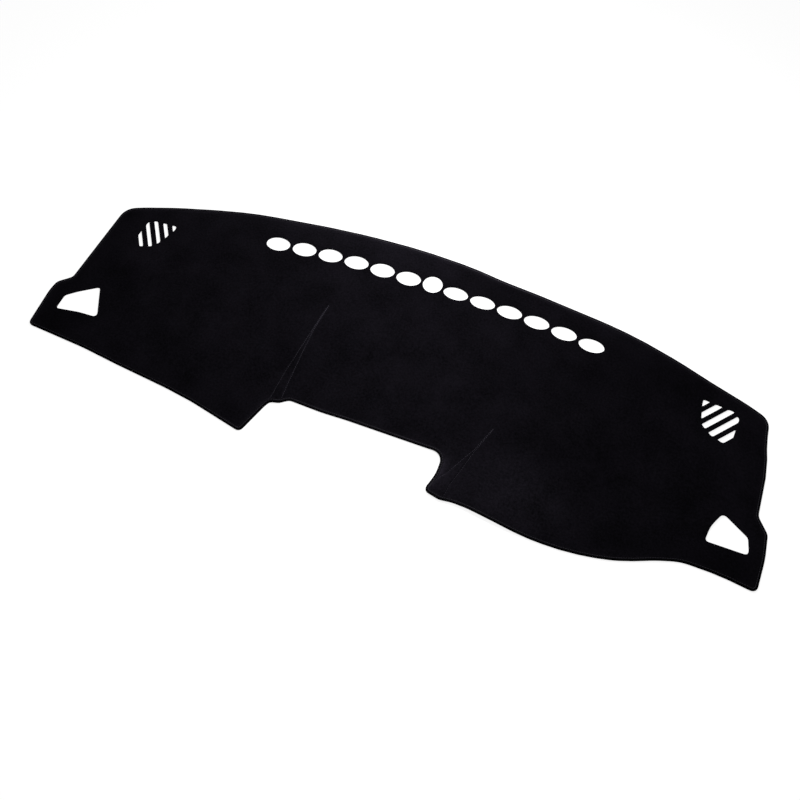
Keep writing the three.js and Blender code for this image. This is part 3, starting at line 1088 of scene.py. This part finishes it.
def add_ribs(material, shader, grain):
    nodes, links = material.node_tree.nodes, material.node_tree.links
    along = nodes.new("ShaderNodeUVMap")
    along.uv_map = "weave"
    ribs = nodes.new("ShaderNodeTexWave")
    ribs.wave_profile = "SIN"
    ribs.inputs["Scale"].default_value = 1 / RIB / math.tau * 2
    ribs.inputs["Distortion"].default_value = 0.4
    bump = nodes.new("ShaderNodeBump")
    bump.inputs["Distance"].default_value = 0.14 * MM
    links.new(along.outputs["UV"], ribs.inputs["Vector"])
    links.new(ribs.outputs["Fac"], bump.inputs["Height"])
    links.new(grain.outputs["Normal"], bump.inputs["Normal"])
    links.new(bump.outputs["Normal"], shader.inputs["Normal"])


add_ribs(tape, tape_shader, tape_grain)
# The tape's colour is multiplied by its painted light and shade.
shade_by("tape_light_and_shade", tape, tape_shader)
binding_tape.data.materials.append(tape)

thread, thread_shader, _ = fibre_material(
    "sewing_thread", srgb(62, 60, 68), srgb(96, 92, 105), tuft=2600, patch=300, depth=0.08 * MM)
thread_shader.inputs["Roughness"].default_value = 0.55
thread_shader.inputs["Specular IOR Level"].default_value = 0.2
for piece in (edge_stitches, edge_stitches_below, seam_stitches):
    piece.data.materials.append(thread)
print("materials:", [material.name for material in bpy.data.materials])

# %% [markdown]
# Each piece rides on the one body and stands for the solid that it replaces, which is hidden.

# %% Ties to the frame
for piece in (velour_sheet, binding_tape, edge_stitches, edge_stitches_below, seam_stitches):
    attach(piece, "root")
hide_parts("mat")
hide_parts("edge_binding")

# %% [markdown]
# The floor is plain and pale. To the camera it is white with only the object's soft shadow on it, and
# to the light it stays an ordinary pale surface.

# %% Floor
FLOOR_HALF = 6.0


def make_floor():
    bpy.ops.object.select_all(action="DESELECT")
    bpy.ops.mesh.primitive_plane_add(size=2 * FLOOR_HALF, location=(0, 0, 0))
    floor = bpy.context.object
    floor.name = "floor"
    material = bpy.data.materials.new("floor_white")
    material.use_nodes = True
    nodes, links = material.node_tree.nodes, material.node_tree.links
    shader = nodes["Principled BSDF"]
    shader.inputs["Base Color"].default_value = (0.8, 0.8, 0.8, 1)
    shader.inputs["Roughness"].default_value = 0.9
    shader.inputs["Specular IOR Level"].default_value = 0.1
    seen = nodes.new("ShaderNodeLightPath")
    glow = nodes.new("ShaderNodeEmission")
    both = nodes.new("ShaderNodeAddShader")
    links.new(seen.outputs["Is Camera Ray"], glow.inputs["Strength"])
    glow.inputs["Color"].default_value = (0.8, 0.8, 0.8, 1)
    links.new(shader.outputs["BSDF"], both.inputs[0])
    links.new(glow.outputs["Emission"], both.inputs[1])
    links.new(both.outputs["Shader"], nodes["Material Output"].inputs["Surface"])
    floor.data.materials.append(material)
    return floor


floor = make_floor()
print("floor", 2 * FLOOR_HALF, "m wide")

# %% [markdown]
# The light is plain: a weak, even white sky, and one soft lamp above the windscreen edge. The lamp is
# near enough that the middle of the mat gets about twice the light of its ends. The camera itself sees
# the sky as white, so a low view has the same plain background as a high one.

# %% Light
SKY_LIGHT = 0.2
SKY_SEEN = 1.0


def make_sky():
    world = bpy.data.worlds.new("sky")
    world.use_nodes = True
    nodes, links = world.node_tree.nodes, world.node_tree.links
    nodes["Background"].inputs["Color"].default_value = (1, 1, 1, 1)
    seen = nodes.new("ShaderNodeLightPath")
    strength = nodes.new("ShaderNodeMapRange")
    strength.inputs["To Min"].default_value = SKY_LIGHT
    strength.inputs["To Max"].default_value = SKY_SEEN
    links.new(seen.outputs["Is Camera Ray"], strength.inputs["Value"])
    links.new(strength.outputs["Result"], nodes["Background"].inputs["Strength"])
    bpy.context.scene.world = world
    return world


def soft_lamp(name, place, target, size, power):
    data = bpy.data.lights.new(name, "AREA")
    data.shape = "DISK"
    data.size = size
    data.energy = power
    lamp = bpy.data.objects.new(name, data)
    bpy.context.scene.collection.objects.link(lamp)
    lamp.location = place
    lamp.rotation_euler = (Vector(target) - Vector(place)).to_track_quat("-Z", "Y").to_euler()
    return lamp


make_sky()
key = soft_lamp("key", place=(0.03, 0.40, 0.66), target=(0.0, 0.08, 0.0), size=0.5, power=3.6)
print("sky", SKY_LIGHT, "and lamp", round(key.data.energy, 1), "W")

# %% [markdown]
# The camera looks down at the mat from the cabin side, a little from the driver's end. Its angles and
# place were worked out from the photograph: they are the ones at which the two ends of the mat mirror
# each other.

# %% Camera
CAMERA_PLACE = Vector((0.2270, -0.5806, 1.1578))
CAMERA_AZIMUTH = 21.247
CAMERA_ELEVATION = 65.4
FOCAL_PIXELS = 665.0
PICTURE_PIXELS = 800
SENSOR = 36.0


def make_camera():
    turn, tilt = math.radians(CAMERA_AZIMUTH), math.radians(CAMERA_ELEVATION)
    ahead = Vector((-math.sin(turn) * math.cos(tilt), math.cos(turn) * math.cos(tilt), -math.sin(tilt)))
    right = Vector((math.cos(turn), math.sin(turn), 0))
    up = right.cross(ahead)
    data = bpy.data.cameras.new("photo_camera")
    data.sensor_width = SENSOR
    data.lens = SENSOR * FOCAL_PIXELS / PICTURE_PIXELS
    data.clip_end = 50
    camera = bpy.data.objects.new("photo_camera", data)
    bpy.context.scene.collection.objects.link(camera)
    facing = Matrix((right, up, -ahead)).transposed()
    camera.matrix_world = Matrix.Translation(CAMERA_PLACE) @ facing.to_4x4()
    bpy.context.scene.camera = camera
    return camera


camera = make_camera()
bpy.context.scene.view_settings.view_transform = "Standard"
print("camera lens", round(camera.data.lens, 1), "mm")
